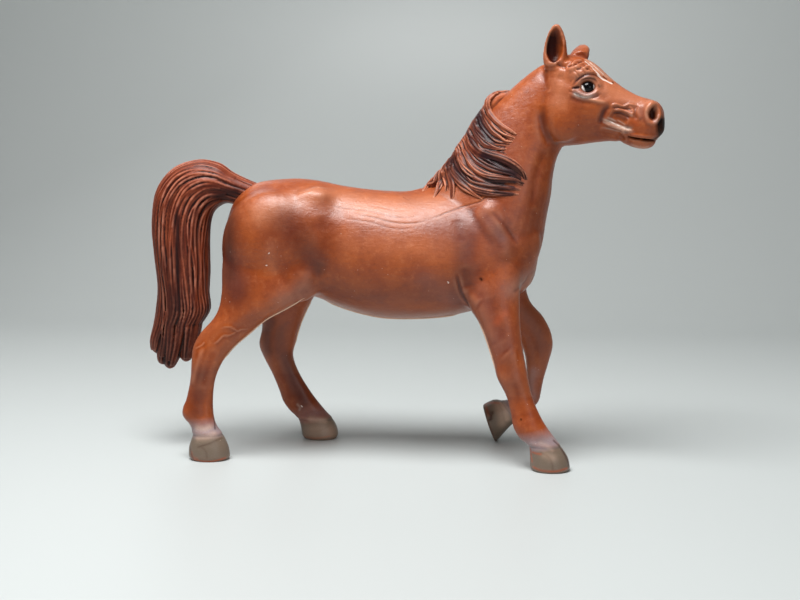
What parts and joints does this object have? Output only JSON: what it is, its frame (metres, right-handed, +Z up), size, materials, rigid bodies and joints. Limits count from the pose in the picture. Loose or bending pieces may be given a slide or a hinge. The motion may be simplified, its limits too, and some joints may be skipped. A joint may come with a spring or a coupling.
{
  "type": "toy horse figure",
  "caption": "Solid moulded toy horse walking with one foreleg lifted; legs, head with neck, mane and tail seat on the trunk by keyed pins.",
  "frame": {"origin": "on the floor, under the middle of the figure's bounding box", "axes": "+X towards the nose, +Y to the horse's left, +Z up"},
  "size_m": [0.1298, 0.0386, 0.1062],
  "materials": {
    "coat": "satin sprayed paint on soft PVC",
    "hair": "satin wiped paint on soft PVC",
    "limbs": "satin sprayed paint on soft PVC"
  },
  "bodies": {
    "root": {"torso": "coat", "head_and_neck": "coat", "mane": "hair", "tail": "hair", "right_foreleg": "limbs", "left_foreleg": "limbs", "right_hind_leg": "limbs", "left_hind_leg": "limbs"}
  },
  "joints": []
}
